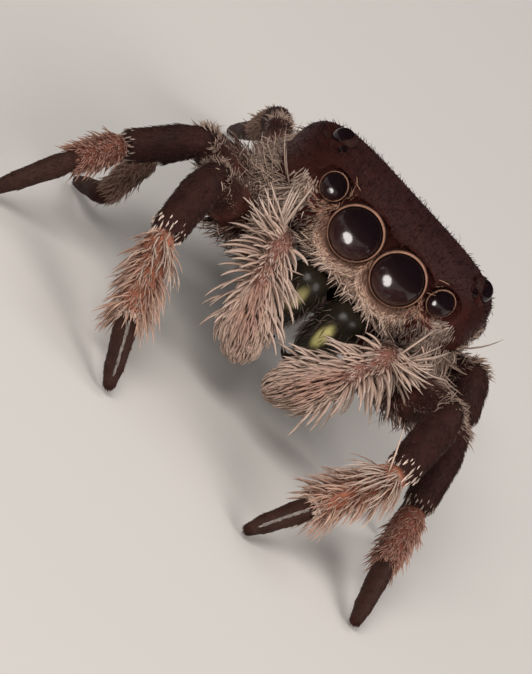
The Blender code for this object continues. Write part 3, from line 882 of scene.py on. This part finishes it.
palp_batches = []
for side, _ in SIDES:
    root, knee, bend, tip = (np.array(point) * (side, 1, 1) for point in PALP_POINTS)
    t = np.linspace(0, 1, 70)[:, None]
    lower = knee * (1 - t) ** 2 + bend * 2 * t * (1 - t) + tip * t * t
    upper = root + (knee - root) * np.linspace(0, 1, 30)[:-1, None]
    line = from_head(np.concatenate([upper, lower]))
    line = running_mean(np.concatenate([line[[0] * 6], line, line[[-1] * 6]]), 13)[6:-6]
    steps = distances(line)
    s = steps / steps[-1]
    grid = tube_grid(line, keyed(s, PALP_RADII) * round_ends(s, steps[-1], 0.24), (1, 0, 0), 36)
    share = np.broadcast_to(s[:, None], grid.shape[:2])
    joint = sum(hump(share, place, width) for place, width in ((0.335, 0.03), (0.50, 0.02), (0.655, 0.02)))
    tone = mixed(BROWN, (0.22, 0.095, 0.072), ease(0.25, 0.38, share) * (0.7 + 0.3 * mottle(grid, 0.25)))
    tone = mixed(tone, BROWN, 0.7 * np.clip(joint, 0, 1))
    tone = mixed(tone, (0.36, 0.265, 0.225), ease(0.66, 0.80, share))
    palp = add_to_skin(grid, tone, (0.51 if side < 0 else 0.63, 0.70), 0.11, 0.22)
    axis = unit(line[-1] - line[40])

    def outward(p):
        """The way from the palp's middle line to a point."""
        return unit(p - line[np.argmin(np.linalg.norm(p[..., None, :] - line, axis=-1), axis=-1)])

    def palp_comb(count, low, high, forward, lean_low, lean_high, curl, length, width, rust):
        """A row of blunt hairs down each side of the palp, evenly spaced between two stations and turned
        forward by a share of a turn. They lean more and more towards the tip, each curling that way too.
        On the inner side they lean so from the first and are shorter by the knee, clear of the face."""
        s = np.tile(low + (high - low) * (np.arange(count) + 0.5) / count, 2)
        s = s + (high - low) / count * rng.uniform(-0.5, 0.5, 2 * count)
        turn = np.repeat((-forward, 0.5 + forward), count) + 0.02 * rng.normal(size=2 * count)
        inner = np.repeat((1, 0) if side < 0 else (0, 1), count)
        lean = lean_low + 0.65 * inner
        lean = lean + (lean_high - lean) * ease(low, high, s) + 0.10 * rng.normal(size=2 * count)
        length = length * (1 - 0.45 * inner * (1 - ease(low, low + 0.2, s)))
        rise = math.pi / 2 - lean
        return hairs(
            roots_at(palp, s, turn), axis, rise, rise - curl, length, width, mixed(CREAM, RUST, rust),
            tip_tone=WHITE, rings=7, stray=0.13, pull=(0, -0.05, -0.05), blunt=5,
        )

    def swept(out, least, most):
        """A lie out to the palp's side that rises by an amount drawn for each hair."""
        return lambda roots: (side * out, 0.1, 0) + rng.uniform(least, most, (len(roots["s"]), 1)) * (0, 0, 1)

    def red(roots):
        """How rusty the brush is: most along its front, and less towards its tip."""
        return 0.55 * ease(0.8, 0.1, np.abs(outward(roots["point"])[:, 0])) * ease(1.02, 0.72, roots["s"])

    # Long blunt hairs in rows down both sides, with shorter, rustier rows in front of them.
    palp_batches += [palp_comb(*row) for row in PALP_COMBS]
    # Long soft wavy hairs from the outer side of the first piece, over the hip behind.
    palp_batches.append(patch(
        palp, 130, lambda p, s, turn: ease(0.04, 0.12, s) * (s < 0.36) * (side * outward(p)[..., 0] > 0.1),
        swept(0.9, -0.9, 0.5), 0.7, -0.1, 0.62, 0.040, varied(GREY, CREAM, 0.3, 0.7),
        rings=6, stray=0.3, pull=(0, 0, -0.3), blunt=3,
    ))
    # A few long hairs from the knee that reach out sideways over the leg behind and turn up at their ends.
    palp_batches.append(patch(
        palp, 30, lambda p, s, turn: hump(s, 0.29, 0.05) * (side * (p[..., 0] - HEAD[0]) > 1.32),
        swept(1.0, -0.5, 0.7), 0.55, 0.45, 0.85, 0.052, CREAM,
        tip_tone=WHITE, rings=7, stray=0.15, pull=(0, 0, 0.35), blunt=4,
    ))
    # Long thin hairs on the inner side that cross the gap over the jaws.
    s = rng.uniform(0.44, 0.62, 9)
    turn = (0.5 if side > 0 else 0.0) + rng.uniform(-0.05, 0.05, 9)
    palp_batches.append(hairs(
        roots_at(palp, s, turn), (-side * 1.0, -0.2, 0.15), 0.9, 0.45, 0.80, 0.040, CREAM,
        tip_tone=WHITE, rings=6, stray=0.15, blunt=3.5,
    ))
    # The dense round brush of the last piece. Its hairs lie along the sides and stand out over the tip.
    for count, low, high, droop, length in PALP_BRUSH:
        palp_batches.append(patch(
            palp, count, lambda p, s, turn: (s > low) * (s < high), axis, 1.15, droop, length, 0.052,
            lambda roots: mixed(CREAM, RUST, 0.12 + red(roots)),
            tip_tone=lambda roots: mixed(mixed(CREAM, WHITE, 0.6), RUST, 0.7 * red(roots)),
            rings=6, stray=0.12, blunt=4,
        ))
    # Short hair over all of it.
    palp_batches.append(patch(
        palp, 1700, lambda p, s, turn: (s > 0.05) * (s < 0.85), lengthways, 0.55, 0.15, 0.15, 0.028,
        short_palp_tone, stray=0.4,
    ))
grow("palp_coat", palp_batches)

# ---------------------------------------------------------------------------------------------
# The legs. Eight legs of hip, thigh, knee, shin and foot. The thighs and knees are black-brown with
# grey streaks, the shins rusty under long cream fringes, and the feet dark with a pale line on top.

LEG_PIECES = ("coxa", "femur", "patella", "tibia", "foot")
HIP, TOE = 0.30, 0.12  # radii of the hip and of the foot near its end
RING = 9  # points round the end of one piece of the frame
TOE_REACH = 0.25  # how far the toe reaches past the middle of its flat, as a share of the way to the end
TOE_HEIGHT = TOE * 0.9
SOLE, HAIR_END = 0.004, 0.01  # the least heights of the skin and of the hairs' tips over the floor
SCALES = 18  # in each ring
JOINT_WINDOW = 0.26  # mm of leg over which each joint is rounded
SPARE = 0.2  # mm of line past each end, for the running mean
CUTICLE_WIDTH = {  # greatest widths of femur, patella, tibia and foot, bare of hair
    1: (0.78, 0.70, 0.54, 0.42),
    2: (0.70, 0.62, 0.48, 0.40),
    3: (0.68, 0.56, 0.44, 0.38),
    4: (0.70, 0.56, 0.46, 0.38),
}
DULL_SHIN = (0.11, 0.055, 0.040)
SHIN_TONES = {1: (0.38, 0.140, 0.085), 2: (0.235, 0.082, 0.056), 3: DULL_SHIN, 4: DULL_SHIN}
SHIN_HAIRS = {  # number, length, width and rise of the hairs of each row that stands out from a shin
    1: ((230, 0.30, 0.032, 0.75), (230, 0.54, 0.034, 0.90)),
    2: ((240, 0.24, 0.026, 0.60), (110, 0.36, 0.028, 0.75)),
    3: ((200, 0.20, 0.020, 0.55), (60, 0.30, 0.022, 0.70)),
    4: ((200, 0.20, 0.020, 0.55), (60, 0.30, 0.022, 0.70)),
}


def node_points(name):
    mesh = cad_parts[name].data
    flat = np.empty(len(mesh.vertices) * 3, np.float32)
    mesh.vertices.foreach_get("co", flat)
    return np.unique(np.round(flat.reshape(-1, 3).astype(float) / MM, 4), axis=0)


def leg_joints(pair, word):
    """The hip's inner end, the four joints and the tip. Each joint is the middle of the ring of points
    where the frame's pieces end. The tip is a little past the middle of the foot's flat."""
    pieces = [node_points(f"leg{pair}_{word}_{piece}") for piece in LEG_PIECES]
    joints = []
    for near, far in zip(pieces, pieces[1:]):
        gap = np.linalg.norm(near[:, None] - far[None], axis=-1).min(axis=1)
        joints.append(near[np.argsort(gap)[:RING]].mean(axis=0))
    hip, foot = pieces[0], pieces[-1]
    start = hip[np.argsort(np.linalg.norm(hip - joints[0], axis=-1))[-RING:]].mean(axis=0)
    flat = foot[np.argsort(foot[:, 2])[:RING]]
    end = flat[np.argmax(np.linalg.norm(flat - joints[-1], axis=-1))]
    tip = flat.mean(axis=0) + TOE_REACH * (end - flat.mean(axis=0))
    tip[2] = TOE_HEIGHT
    return np.array([start, *joints, tip])


def leg_line(joints, count):
    """Points along the leg, evenly spaced and rounded at the joints, and each joint's place."""
    steps = distances(joints)
    length = steps[-1]
    s = np.linspace(-SPARE, length + SPARE, count + int(2 * SPARE / length * count))
    run = np.stack([np.interp(s, steps, joints[:, k]) for k in range(3)], -1)
    before = joints[0] + (s[:, None] / steps[1]) * (joints[1] - joints[0])
    after = joints[-1] + ((s[:, None] - length) / (length - steps[-2])) * (joints[-1] - joints[-2])
    run = np.where(s[:, None] < 0, before, np.where(s[:, None] > length, after, run))
    smooth = running_mean(run, max(3, int(JOINT_WINDOW / (s[1] - s[0])) // 2 * 2 + 1))
    kept = (s >= 0) & (s <= length)
    return smooth[kept], s[kept], steps


def leg_radius(s, steps, widths):
    """The cuticle's radius along the leg: each piece swells between narrow joints. From a to f, the steps are
    the places of the hip's inner end, the four joints and the tip, in mm along the leg."""
    femur, patella, tibia, foot = (width / 2 for width in widths)
    a, b, c, d, e, f = steps
    return keyed(s, (
        (a, HIP * 0.9), ((a + b) / 2, HIP * 1.06), (b, HIP * 0.84),
        (b + 0.35 * (c - b), femur), (c - 0.12 * (c - b), femur * 0.82), (c, femur * 0.66),
        (c + 0.28 * (d - c), patella), (d - 0.15 * (d - c), patella * 0.95), (d, tibia * 0.86),
        (d + 0.22 * (e - d), tibia * 1.04), (e - 0.15 * (e - d), tibia * 0.90), (e, foot * 0.86),
        (e + 0.18 * (f - e), foot), (e + 0.6 * (f - e), foot * 0.86), (f - 0.10, TOE), (f, TOE * 0.9),
    ))


def leg_tone(points, s, steps, shin_tone):
    """Skin tones by station: brown hip, black thigh and knee, a shin of its own tone and a dark foot."""
    _, b, c, d, e, _ = steps
    tone = mixed((0.062, 0.024, 0.019), (0.135, 0.042, 0.032), 0.8 * mottle(points, 0.6))
    tone = mixed(tone, BLACK, 0.75 * ease(b + 0.5 * (c - b), b + 0.75 * (c - b), s))
    shin = ease(d - 0.02, d + 0.12, s) * (1 - ease(e - 0.14, e + 0.02, s))
    tone = mixed(tone, shin_tone, 0.95 * shin * (0.75 + 0.25 * mottle(points, 0.35)))
    return mixed(tone, (0.040, 0.020, 0.016), ease(e - 0.05, e + 0.10, s))


for pair in CUTICLE_WIDTH:
    for side, word in SIDES:
        joints = leg_joints(pair, word)
        line, s, steps = leg_line(joints, 165)
        a, b, c, d, e, f = steps
        long = s[-1] - s[0]
        radius = leg_radius(s, steps, CUTICLE_WIDTH[pair]) * round_ends((s - s[0]) / long, long, 0.14)
        grid = tube_grid(line, radius, unit(np.cross(joints[3] - joints[1], (0, 0, 1))), 30, slim=0.9)
        grid[..., 2] = np.maximum(grid[..., 2], SOLE)
        tone = leg_tone(grid, np.broadcast_to(s[:, None], grid.shape[:2]), steps, SHIN_TONES[pair])
        number = 2 * (pair - 1) + (side > 0)
        leg = add_to_skin(grid, tone, (0.01 + 0.12 * number, 0.01), 0.11, 0.46)
        front = 0.0 if side > 0 else 0.5  # the turn that faces forward, the top being at 0.25
        batches = []

        def coat(count, density, *shape, **more):
            """Adds hairs that lie along the leg, by a density of the place along it in mm and of the turn."""
            batches.append(patch(
                leg, count, lambda p, share, turn: density(share * f, turn), lengthways, *shape, **more,
            ))

        def between(low, high):
            return lambda at, turn: (at > low) * (at < high)

        def thigh_tone(roots):
            """Black-brown with pale streaks along the thigh."""
            at, count = roots["s"] * f, len(roots["s"])
            streak = (np.abs((roots["turn"] * 5) % 1 - 0.5) < 0.16) & (at < c - 0.1)
            pale = np.where(streak, 0.75 * rng.random(count), 0.03)
            brown = rng.random(count) * (1 - 0.6 * ease(c - 0.3, c, at))
            return mixed(mixed((0.016, 0.008, 0.0075), (0.105, 0.048, 0.040), brown), CREAM, pale)

        def shin_density(at, turn):
            """Thin by the knee and on the side that faces forward, full beyond."""
            facing = hump((turn - front + 0.5) % 1 - 0.5, 0.04 * side, 0.17)
            bare = 0.93 * facing * (1 - ease(d + 0.35, d + 0.95, at))
            return (at > d) * (at < e - 0.03) * (1 - bare) * (0.25 + 0.75 * ease(d, d + 0.35, at))

        # Hip and the root of the thigh: long soft greyish hairs.
        coat(
            480, between(a + 0.1, b + 1.0), 0.75, 0.1, 0.50 if pair <= 2 else 0.42, 0.030,
            varied((0.115, 0.062, 0.050), WHITE, spread=0.85, power=2),
            rings=5, stray=0.55, pull=(0, 0, -0.25), blunt=2.4,
        )
        # Thigh and knee: a close dark pile.
        coat(3200, between(b, d - 0.05), 0.40, 0.10, 0.15, 0.016, thigh_tone)
        # A few pale hairs in a crescent over the thigh's end.
        coat(
            90, lambda at, turn: hump(at, c - 0.14, 0.09) * (np.sin(turn * 2 * math.pi) > -0.1),
            0.7, 0.3, 0.27, 0.026, varied(GREY, CREAM), rings=3, stray=0.45,
        )
        # White scales in rings at the knee's end and one at the shin's, each alone on black.
        scales = (
            (d - 0.24, 0.14, 0.036), (d - 0.13, 0.19, 0.044),
            (d - 0.03, 0.22, 0.048), (e - 0.09, 0.12, 0.030),
        )
        for station, length, width in scales if pair <= 2 else scales[2:3]:
            turn = np.arange(SCALES) / SCALES + 0.015 * rng.normal(size=SCALES)
            at = station + 0.035 * rng.normal(size=SCALES)
            batches.append(hairs(
                roots_at(leg, at / f, turn), lengthways, 0.28, 0.22, length, width,
                np.array(WHITE) * (1.1 if pair == 1 else 0.6), rings=3, stray=0.12, blunt=3.5,
            ))
        # Shin: short rusty hairs under long blunt ones that spray forward.
        pink, soft = (mixed(SHIN_TONES[pair], CREAM, share) for share in (0.25, 0.9 if pair == 1 else 0.5))
        coat(900, between(d, e), 0.50, 0.20, 0.18, 0.024, varied(pink, soft), rings=3, stray=0.3, blunt=2.2)
        for count, length, width, rise in SHIN_HAIRS[pair]:
            coat(
                count, shin_density, rise, rise * 0.5, length, width, varied(pink, soft, 0.4, 0.6),
                tip_tone=soft * 1.3, rings=5, pull=(0, 0, -0.12), blunt=2.8,
            )
        if pair == 1:
            # Longer curved hairs spray forward from the near half of the shin's top and inner side.
            coat(
                40 if side > 0 else 22,
                lambda at, turn: (
                    hump(at, d + 0.35, 0.25) * (at > d + 0.05) * hump(turn, 0.25 - 0.05 * side, 0.12)
                ),
                0.80, 0.15, 0.88, 0.040, CREAM, tip_tone=WHITE, rings=7, stray=0.22, blunt=3.2,
            )
            # A frizz of white hair where the shin ends.
            coat(
                170, lambda at, turn: hump(at, e - 0.03, 0.05), 0.9, 0.1, 0.20, 0.032, varied(CREAM, WHITE),
                rings=4, stray=0.7, blunt=3,
            )
        # Foot: a close dark brown pile, with a thin white line along the first pair's.
        coat(
            1900, between(e - 0.05, f - 0.03), 0.26, 0.05, 0.13, 0.014,
            varied((0.032, 0.012, 0.0095), (0.082, 0.033, 0.025)), stray=0.16,
        )
        if pair == 1:
            at = e + (0.06 + 0.74 * rng.random(220)) * (f - e)
            roots = roots_at(leg, at / f, 0.25 + 0.010 * rng.normal(size=220))
            batches.append(hairs(
                roots, lengthways, 0.34, 0.10, 0.13, 0.022, (0.28, 0.25, 0.23), rings=3, stray=0.04, blunt=3,
            ))
        # Hairs that would dip into the floor are cut short above it.
        for batch in batches:
            height = batch["root"][:, 2]
            end = height + batch["length"] * (batch["start"][:, 2] + batch["end"][:, 2]) / 2
            reach = np.clip((height - HAIR_END) / np.maximum(height - end, 1e-6), 0.1, 1)
            batch["length"] = np.where(end < HAIR_END, batch["length"] * reach, batch["length"])
        grow(f"leg{pair}_{word}_coat", batches)

# ---------------------------------------------------------------------------------------------
# The underside and waist. A small oval shield lies between the hips, the mouth's two lobes lie in
# front of it, and a thin waist joins the two halves of the body.


def plain_tone(points):
    return mixed(BROWN, BLACK, mottle(points, 0.5))


def add_egg(corner, size, start, end, half_width, half_height, rows, columns, blunt=2.2):
    """Adds to the skin a ball that is stretched between two points and oval in section."""
    t, turn = plot(rows, columns)
    start, end = np.asarray(start, float), np.asarray(end, float)
    tangent = unit(end - start)
    side = unit(np.array((1, 0, 0)) - tangent * tangent[0])
    reach = reach_of(t, blunt, blunt)
    grid = (
        start + t[..., None] * (end - start)
        + (half_width * reach * np.cos(turn))[..., None] * side
        + (half_height * reach * np.sin(turn))[..., None] * np.cross(side, tangent)
    )
    return add_to_skin(grid, plain_tone(grid), corner, *size)


SMALL = (0.05, 0.05)  # a small place on the unwrap
BELLY, MOUTH = from_head((0, 1.02, -1.5)), from_head((0, 0.62, -1.5))
sternum = add_egg((0.76, 0.70), (0.1, 0.1), BELLY, from_head((0, 3.88, -1.5)), 0.54, 0.27, 30, 32, 2.4)
add_egg((0.76, 0.82), SMALL, MOUTH, from_head((0, 1.1, -1.52)), 0.2, 0.14, 16, 16)
for side, corner in ((-1, 0.82), (1, 0.88)):
    start, end = from_head((side * 0.42, 1.05, -1.46)), from_head((side * 0.3, 0.42, -1.86))
    add_egg((corner, 0.82), SMALL, start, end, 0.2, 0.16, 20, 20)
low, high = box_of("waist")
middle = (low[0] + high[0]) / 2
waist = add_egg(
    (0.94, 0.82), SMALL, (middle, low[1] - 0.35, high[2] - 0.3), (middle, high[1] + 0.3, low[2] + 0.27),
    0.24, 0.2, 24, 28, 6,
)
under = [
    patch(sternum, 1500, None, (0, 1.0, 0), 0.5, 0.2, 0.18, 0.014, varied(BROWN, GREY), stray=0.3),
    patch(waist, 500, None, lengthways, 0.7, 0.3, 0.20, 0.018, varied(BROWN, GREY), stray=0.4),
]

# ---------------------------------------------------------------------------------------------
# The abdomen. A soft egg with a short brown-black coat, a cream band round its front, pale flecks
# along its sides and pairs of pale spots down the back. Six spinnerets close its end.

low, high = box_of("abdomen")
ABDOMEN_X = (low[0] + high[0]) / 2
ABDOMEN_FRONT, ABDOMEN_LENGTH = low[1], high[1] - low[1]
ABDOMEN_HEIGHT, ABDOMEN_DROOP = 1.85, 0.85
ABDOMEN_HALF_WIDTH, ABDOMEN_HALF_HEIGHT = (high[0] - low[0]) / 2, 1.08
ABDOMEN_COAT = 0.08
SPOTS = ((0.36, 0.42, 0.14), (0.54, 0.50, 0.20), (0.69, 0.42, 0.15), (0.81, 0.30, 0.11))  # along, out, width
SPINNERETS = (  # how far each stands out and up, and its length and radius
    (-0.12, 0.08, 0.46, 0.085), (0.12, 0.08, 0.46, 0.085), (-0.13, -0.09, 0.42, 0.095),
    (0.13, -0.09, 0.42, 0.095), (-0.05, 0.0, 0.30, 0.05), (0.05, 0.0, 0.30, 0.05),
)


def abdomen_grid(rows, columns):
    """An egg with its small end behind, drooping towards it."""
    t, turn = plot(rows, columns)
    reach = reach_of(t, 2.2, 2.0)
    wide = ABDOMEN_HALF_WIDTH * (1 - 0.30 * ease(0.40, 1.0, t)) - ABDOMEN_COAT
    taper = np.where(np.sin(turn) > 0, 0.40, 0.35) * ease(0.45, 1.0, t)
    tall = ABDOMEN_HALF_HEIGHT * (1 - taper) - ABDOMEN_COAT
    y = ABDOMEN_FRONT + 0.05 + (ABDOMEN_LENGTH - 0.1) * t
    z = ABDOMEN_HEIGHT - ABDOMEN_DROOP * t + tall * reach * np.sin(turn)
    return np.stack([ABDOMEN_X + wide * reach * np.cos(turn), y, z], -1)


def abdomen_tone(points):
    """Brown-black, with the cream front band, side flecks, and two rows of spots that shrink backwards."""
    x, y, z = np.moveaxis(points, -1, 0)
    x, t = np.abs(x - ABDOMEN_X), (y - ABDOMEN_FRONT) / ABDOMEN_LENGTH
    high = ease(0.1, 0.7, (z - ABDOMEN_HEIGHT + ABDOMEN_DROOP * t) / ABDOMEN_HALF_HEIGHT)
    tone = mixed((0.045, 0.024, 0.019), BLACK, high)
    tone = mixed(tone, (0.16, 0.12, 0.095), (1 - high) * 0.6 * ease(0.45, 0.7, mottle(points, 0.7)))
    band = hump(t, 0.10, 0.055) * ease(-0.3, 0.3, z - ABDOMEN_HEIGHT + 0.3)
    spots = sum(hump(t, place, 0.035) * hump(x, out, width) for place, out, width in SPOTS)
    return mixed(tone, (0.52, 0.40, 0.31), np.clip(0.8 * band + 0.85 * spots * high, 0, 1))


grid = abdomen_grid(90, 90)
abdomen = add_to_skin(grid, abdomen_tone(grid), (0.51, 0.50), 0.22, 0.19)
back = (0, 1.0, -0.15)
fur = patch(
    abdomen, 15500, None, back, 0.40, 0.15, 0.22, 0.017, lambda roots: abdomen_tone(roots["point"]) * 1.35,
)
long_fur = patch(abdomen, 900, None, back, 0.8, 0.4, 0.36, 0.014, varied(BROWN, GREY), rings=3, stray=0.35)
# Longer pale hair on its front end reaches forward over the waist.
front_fur = patch(
    abdomen, 700, lambda p, s, turn: ease(0.20, 0.05, s) * ease(-0.6, 0.2, p[..., 2] - ABDOMEN_HEIGHT),
    (0, -1.0, 0.2), 0.95, 0.1, 0.55, 0.026, varied(GREY, CREAM), rings=4, stray=0.3, pull=(0, -0.5, -0.1),
)
grow("abdomen_coat", [fur, long_fur, front_fur])

for place, (out, raised, length, thick) in enumerate(SPINNERETS):
    start = middle_of("spinnerets") + (out * 0.8, -0.32, raised * 0.8)
    end = start + (out * 0.35, length + 0.1, raised * 0.25)
    part = add_egg((0.76 + 0.035 * place, 0.88), (0.03, 0.05), start, end, thick, thick, 20, 14, 5)
    under.append(patch(
        part, 150, lambda p, s, turn: s > 0.25, lengthways, 0.5, 0.2, 0.12, 0.012, varied(BROWN, GREY),
        stray=0.3,
    ))
grow("under_coat", under)

# ---------------------------------------------------------------------------------------------
# The one skin. All the surfaces of shield, rims, palps, legs and abdomen are joined into one piece
# of cuticle, finely pitted and a little glossy where the coat is thin.


def skin_material():
    """Cuticle in its own tones, broken by fine blotches, with pits and net-like wrinkles."""
    material, shader, wire = new_material("cuticle", 0.5, Specular_IOR_Level=0.06)
    own_tone(wire).shaded(noise(wire, 5, detail=4) * 0.9 + 0.5).feed(shader, "Base Color")
    (noise(wire, 11, detail=3) * 0.3 + 0.42).feed(shader, "Roughness")
    place = wire.node("ShaderNodeTexCoord", output=3)
    cells = wire.node("ShaderNodeTexVoronoi", None, {"Vector": place, "Scale": 26 / MM})
    (cells * 0.6 + noise(wire, 30) * 0.5).bumped(0.5, 0.012).feed(shader, "Normal")
    return material


flesh = ["carapace", "sternum", "waist", "abdomen", "spinnerets"]
flesh += [f"palp_{part}_{word}" for part in ("upper", "lower") for word in ("left", "right")]
for pair in CUTICLE_WIDTH:
    flesh += [f"leg{pair}_{word}_{piece}" for word in ("left", "right") for piece in LEG_PIECES]
add_piece("skin", joined(closed_body(**part) for part in skin_parts), skin_material(), flesh)

# ---------------------------------------------------------------------------------------------
# The stage: a pale floor, soft light all round, and a long lens held low in front of the spider and
# rolled to one side.

FLOOR_HALF = 0.45  # half the floor's side, in metres
CAMERA_TURN, CAMERA_HEIGHT, CAMERA_ROLL = math.radians(5), math.radians(17), math.radians(49)
CAMERA_DISTANCE = 95
SENSOR = 36  # its width in mm
VIEW_HEIGHT = 11.12  # mm seen from top to bottom at the eyes
LOOK_AT = (-0.19, -2.27)  # the middle of the view: mm to the side of the eyes, and above them


def placed(name, data):
    """A new object in the scene."""
    obj = bpy.data.objects.new(name, data)
    bpy.context.scene.collection.objects.link(obj)
    return obj


def towards(turn, height):
    """The way from the head to a place, by its angle round from the front and its angle above the floor."""
    flat = math.cos(height)
    return np.array([math.sin(turn) * flat, -math.cos(turn) * flat, math.sin(height)])


def aimed(obj, place, right, up):
    """Sets an object at a place in mm with its own X and Y along right and up, looking down its own -Z."""
    columns = (right, up, np.cross(right, up), place * MM)
    obj.matrix_world = Matrix([[float(column[row]) for column in columns] for row in range(3)]).to_4x4()


floor_mesh = bpy.data.meshes.new("floor")
corners = [(x * FLOOR_HALF, y * FLOOR_HALF, 0) for x, y in ((-1, -1), (1, -1), (1, 1), (-1, 1))]
floor_mesh.from_pydata(corners, [], [(0, 1, 2, 3)])
material, shader, _ = new_material("floor_paint", 0.8)
shader.inputs["Base Color"].default_value = (0.62, 0.60, 0.58, 1)
floor_mesh.materials.append(material)
placed("floor", floor_mesh)

camera_data = bpy.data.cameras.new("camera")
camera_data.sensor_width = SENSOR
camera_data.lens = SENSOR * CAMERA_DISTANCE / VIEW_HEIGHT
camera_data.clip_start, camera_data.clip_end = 0.002, 5
camera = placed("camera", camera_data)
back = towards(-CAMERA_TURN, CAMERA_HEIGHT)
level = np.array([math.cos(CAMERA_TURN), -math.sin(CAMERA_TURN), 0])
upright = np.cross(back, level)
right = math.cos(CAMERA_ROLL) * level + math.sin(CAMERA_ROLL) * upright
up = math.cos(CAMERA_ROLL) * upright - math.sin(CAMERA_ROLL) * level
place = EYE_MIDDLE + back * CAMERA_DISTANCE + level * LOOK_AT[0] + upright * LOOK_AT[1]
aimed(camera, place, right, up)
bpy.context.scene.camera = camera


def add_light(name, turn, height, distance, size, radiance, tint):
    """A round soft light at so many degrees round and up, aimed at the head. Its power is its radiance
    times pi times its area."""
    data = bpy.data.lights.new(name, "AREA")
    data.shape = "DISK"
    data.size = size * MM
    data.energy = radiance * math.pi * math.pi * (size * MM / 2) ** 2
    data.color = tint
    light = placed(name, data)
    away = towards(math.radians(turn), math.radians(height))
    level = unit(np.cross((0, 0, 1), away))
    aimed(light, EYE_MIDDLE + away * distance, level, np.cross(away, level))
    return light


eyes = bpy.data.collections.new("eyes_only")
all_but_eyes = bpy.data.collections.new("all_but_eyes")
for kind, word, *_ in EYE_PLACES:
    ball = bpy.data.objects[f"eye_{kind}_{word}_ball"]
    eyes.objects.link(ball)
    all_but_eyes.objects.link(ball)
for entry in all_but_eyes.collection_objects:
    entry.light_linking.link_state = "EXCLUDE"

for light in (
    add_light("key", -25, 38, 260, 150, 9.5, (1.0, 0.95, 0.90)),
    add_light("fill", 50, 30, 260, 170, 5, (1.0, 0.93, 0.88)),
    add_light("rim", 160, 45, 280, 130, 3.5, (1.0, 0.96, 0.95)),
):
    light.light_linking.receiver_collection = all_but_eyes

# A small round lamp low in front puts one spark in each eye and lights nothing else.
spark = add_light("spark", -22, -28, 3.7, 2.9, 22, (1.0, 0.95, 0.92))
spark.light_linking.receiver_collection = eyes
spark.light_linking.blocker_collection = eyes
spark.visible_camera = False
spark.visible_diffuse = False

world = bpy.data.worlds.new("room")
world.use_nodes = True
background = world.node_tree.nodes["Background"]
background.inputs["Color"].default_value = (0.80, 0.775, 0.75, 1)
background.inputs["Strength"].default_value = 0.35
world.cycles_visibility.glossy = False  # so that dark pile and eyes stay dark at their edges
bpy.context.scene.world = world
bpy.context.scene.view_settings.view_transform = "Standard"
